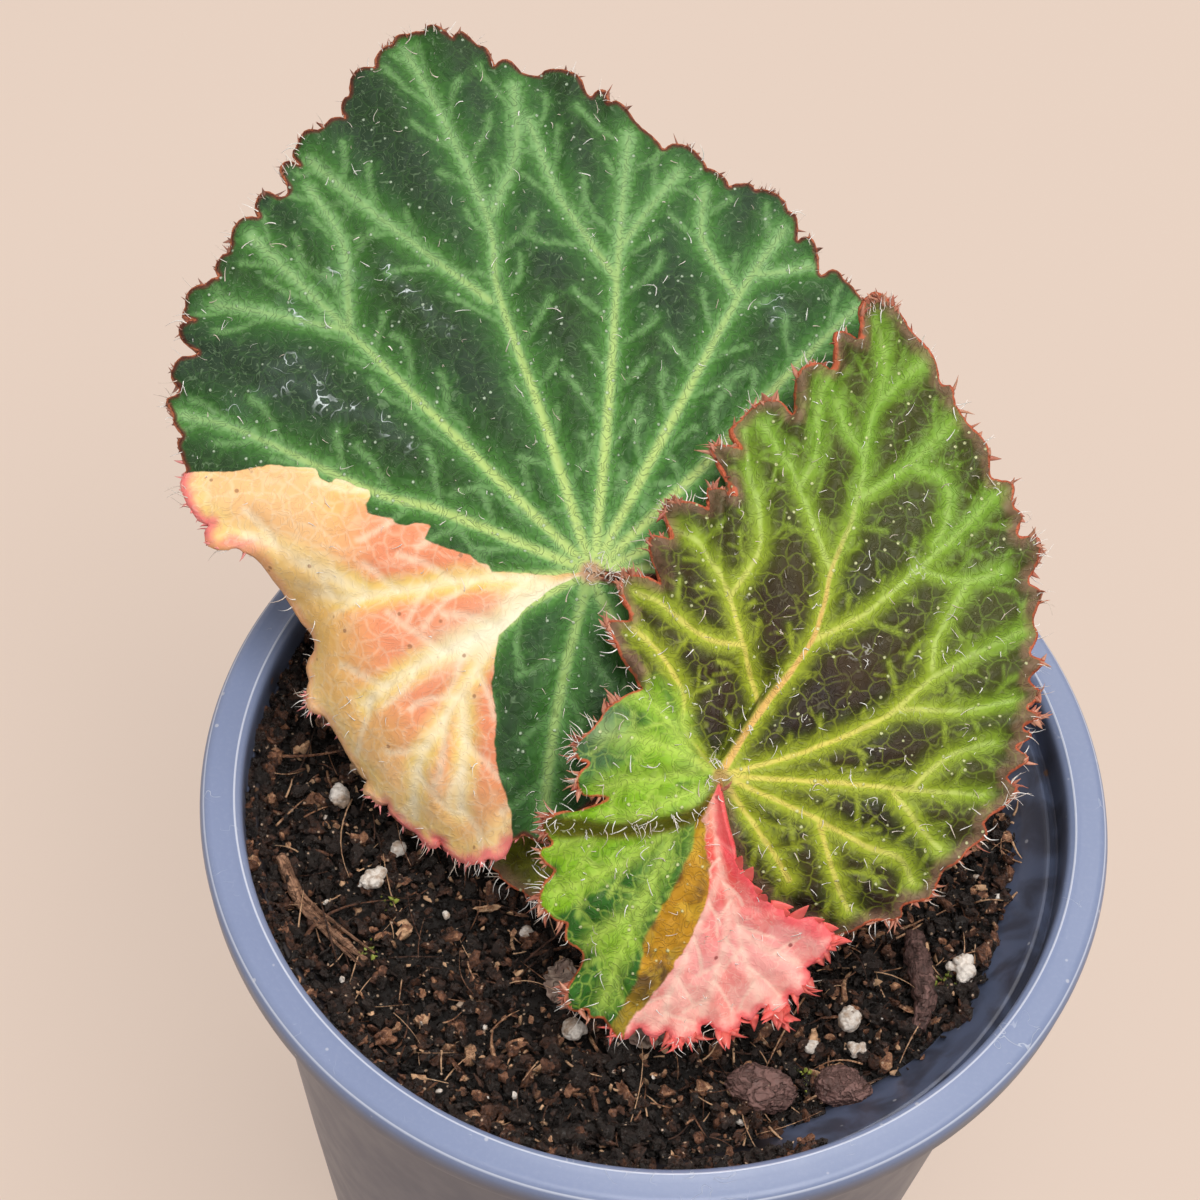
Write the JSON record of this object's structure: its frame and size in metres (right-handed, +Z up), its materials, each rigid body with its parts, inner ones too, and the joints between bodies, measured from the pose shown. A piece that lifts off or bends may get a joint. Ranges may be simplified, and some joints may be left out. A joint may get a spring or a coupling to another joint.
{
  "type": "potted begonia",
  "caption": "Rex begonia in a round tapered nursery pot: broad lobed hairy leaves on short stalks from a creeping stem, in bark potting mix with perlite.",
  "frame": {"origin": "centre of the flat face under the pot, where it rests", "axes": "+Z up along the pot's axis, +Y towards the tip of the larger leaf, +X to the right when looking along +Y"},
  "size_m": [0.1184, 0.1364, 0.1397],
  "materials": {
    "pot_plastic": "satin slate-blue moulded plastic with small scuffs",
    "potting_mix": "damp dark bark crumbs and fibre",
    "leaf_dark": "soft hairy dark green leaf with light veins and a peach and cream sector",
    "leaf_net": "soft hairy brown-green leaf with a lime vein net and a coral sector",
    "stalk": "reddish hairy stem",
    "bark": "weathered brown bark and twig",
    "perlite": "chalky white grains",
    "dry_scale": "dry papery tan"
  },
  "bodies": {
    "root": {"pot": "pot_plastic", "potting_mix": "potting_mix", "rhizome": "stalk", "leaf_large_blade": "leaf_dark", "leaf_large_stalk": "stalk", "leaf_small_blade": "leaf_net", "leaf_small_stalk": "stalk", "leaf_young_blade": "leaf_net", "leaf_young_stalk": "stalk", "twig": "bark", "bark_strip": "bark", "bark_lump_1": "bark", "bark_lump_2": "bark", "perlite_1": "perlite", "perlite_2": "perlite", "perlite_3": "perlite", "perlite_4": "perlite", "perlite_5": "perlite", "perlite_6": "perlite", "perlite_7": "perlite", "perlite_8": "perlite", "perlite_9": "perlite", "dry_scale_1": "dry_scale", "dry_scale_2": "dry_scale"}
  },
  "joints": []
}
